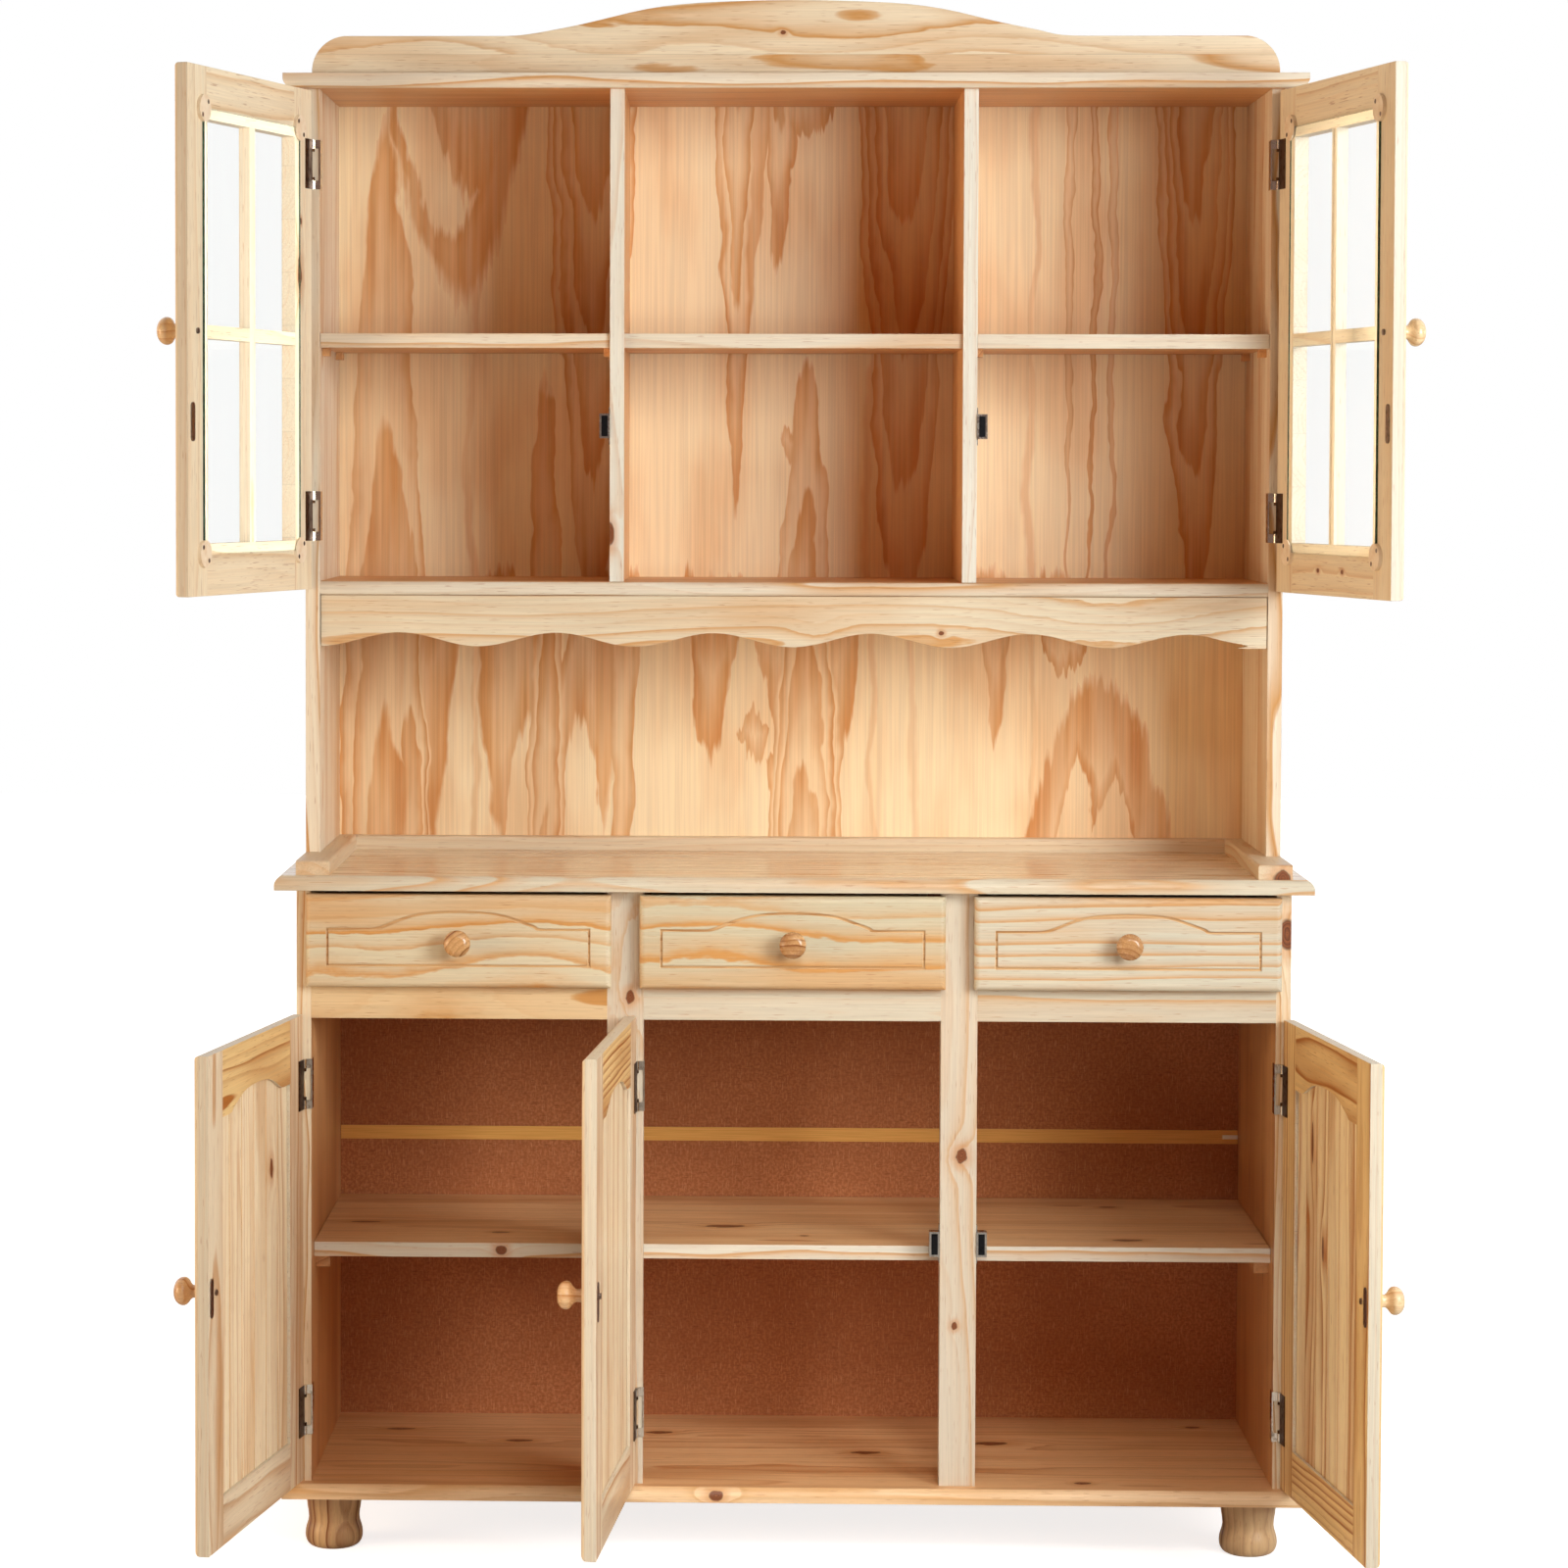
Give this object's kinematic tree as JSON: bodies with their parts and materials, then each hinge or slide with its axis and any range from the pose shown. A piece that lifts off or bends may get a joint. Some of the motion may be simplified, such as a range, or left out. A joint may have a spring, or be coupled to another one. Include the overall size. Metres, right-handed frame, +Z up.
{
  "type": "kitchen dresser",
  "caption": "Pine kitchen dresser: base cupboard with drawers and panelled doors, hutch with glazed doors, open shelves, scalloped valance and arched crest.",
  "frame": {"origin": "on the floor, in the middle of the width, in the plane of the base's front frame", "axes": "+Z up, +X to the right as seen from the front, +Y from the front to the back"},
  "size_m": [1.4865, 0.7708, 1.9355],
  "materials": {
    "pine": "solid pine, clear satin lacquer",
    "plywood": "rotary-cut pine plywood, clear lacquer",
    "hardboard": "bare fibreboard sheet",
    "strip_plastic": "ochre plastic joining strip",
    "bronze": "antique bronze plated steel",
    "nickel": "nickel plated steel",
    "steel": "zinc plated steel",
    "glass": "clear float glass",
    "clip_plastic": "beige moulded plastic"
  },
  "bodies": {
    "carcass": {"back_joining_strip": "strip_plastic", "base_back_panels": "hardboard", "base_bottom_board": "pine", "base_shelf": "pine", "base_sides": "pine", "bun_feet": "pine", "countertop": "pine", "crest_board": "pine", "dowels": "pine", "drawer_rails": "pine", "drawer_runners": "pine", "frame_screws": "steel", "front_posts": "pine", "hinge_frame_leaves": "nickel", "hinge_pins": "nickel", "hutch_back_panel": "plywood", "hutch_dividers": "pine", "hutch_floor": "pine", "hutch_foot_strips": "pine", "hutch_shelves": "pine", "hutch_sides": "pine", "hutch_top_board": "pine", "magnetic_catches": "steel", "scalloped_valance": "pine", "shelf_cleats": "pine"},
    "drawer_left": {"drawer_left_bottom": "hardboard", "drawer_left_box": "pine", "drawer_left_front": "pine", "drawer_left_knob": "pine"},
    "drawer_middle": {"drawer_middle_bottom": "hardboard", "drawer_middle_box": "pine", "drawer_middle_front": "pine", "drawer_middle_knob": "pine"},
    "drawer_right": {"drawer_right_bottom": "hardboard", "drawer_right_box": "pine", "drawer_right_front": "pine", "drawer_right_knob": "pine"},
    "lower_door_left": {"lower_door_left_frame": "pine", "lower_door_left_hardware": "bronze", "lower_door_left_knob": "pine", "lower_door_left_panel": "pine"},
    "lower_door_middle": {"lower_door_middle_frame": "pine", "lower_door_middle_hardware": "bronze", "lower_door_middle_knob": "pine", "lower_door_middle_panel": "pine"},
    "lower_door_right": {"lower_door_right_frame": "pine", "lower_door_right_hardware": "bronze", "lower_door_right_knob": "pine", "lower_door_right_panel": "pine"},
    "upper_door_left": {"upper_door_left_clips": "clip_plastic", "upper_door_left_frame": "pine", "upper_door_left_glass": "glass", "upper_door_left_hardware": "bronze", "upper_door_left_knob": "pine"},
    "upper_door_right": {"upper_door_right_clips": "clip_plastic", "upper_door_right_frame": "pine", "upper_door_right_glass": "glass", "upper_door_right_hardware": "bronze", "upper_door_right_knob": "pine"}
  },
  "joints": [
    {"name": "lower_left_hinge", "type": "hinge", "parent": "carcass", "child": "lower_door_left", "pos_m": [-0.6046, -0.0035, 0.3835], "axis": [0, 0, -1], "range_deg": [-100.7, 19.3]},
    {"name": "lower_middle_hinge", "type": "hinge", "parent": "carcass", "child": "lower_door_middle", "pos_m": [-0.19227, -0.0035, 0.3835], "axis": [0, 0, -1], "range_deg": [-95.4, 4.6]},
    {"name": "lower_right_hinge", "type": "hinge", "parent": "carcass", "child": "lower_door_right", "pos_m": [0.6046, -0.0035, 0.3835], "axis": [0, 0, 1], "range_deg": [-97.5, 22.5]},
    {"name": "upper_left_hinge", "type": "hinge", "parent": "carcass", "child": "upper_door_left", "pos_m": [-0.6046, 0.1065, 1.5105], "axis": [0, 0, -1], "range_deg": [-106.5, 13.5]},
    {"name": "upper_right_hinge", "type": "hinge", "parent": "carcass", "child": "upper_door_right", "pos_m": [0.6046, 0.1065, 1.5105], "axis": [0, 0, 1], "range_deg": [-103, 17]},
    {"name": "drawer_left_slide", "type": "slide", "parent": "carcass", "child": "drawer_left", "axis": [0, -1, 0], "range_m": [0, 0.24]},
    {"name": "drawer_middle_slide", "type": "slide", "parent": "carcass", "child": "drawer_middle", "axis": [0, -1, 0], "range_m": [0, 0.24]},
    {"name": "drawer_right_slide", "type": "slide", "parent": "carcass", "child": "drawer_right", "axis": [0, -1, 0], "range_m": [0, 0.24]}
  ]
}
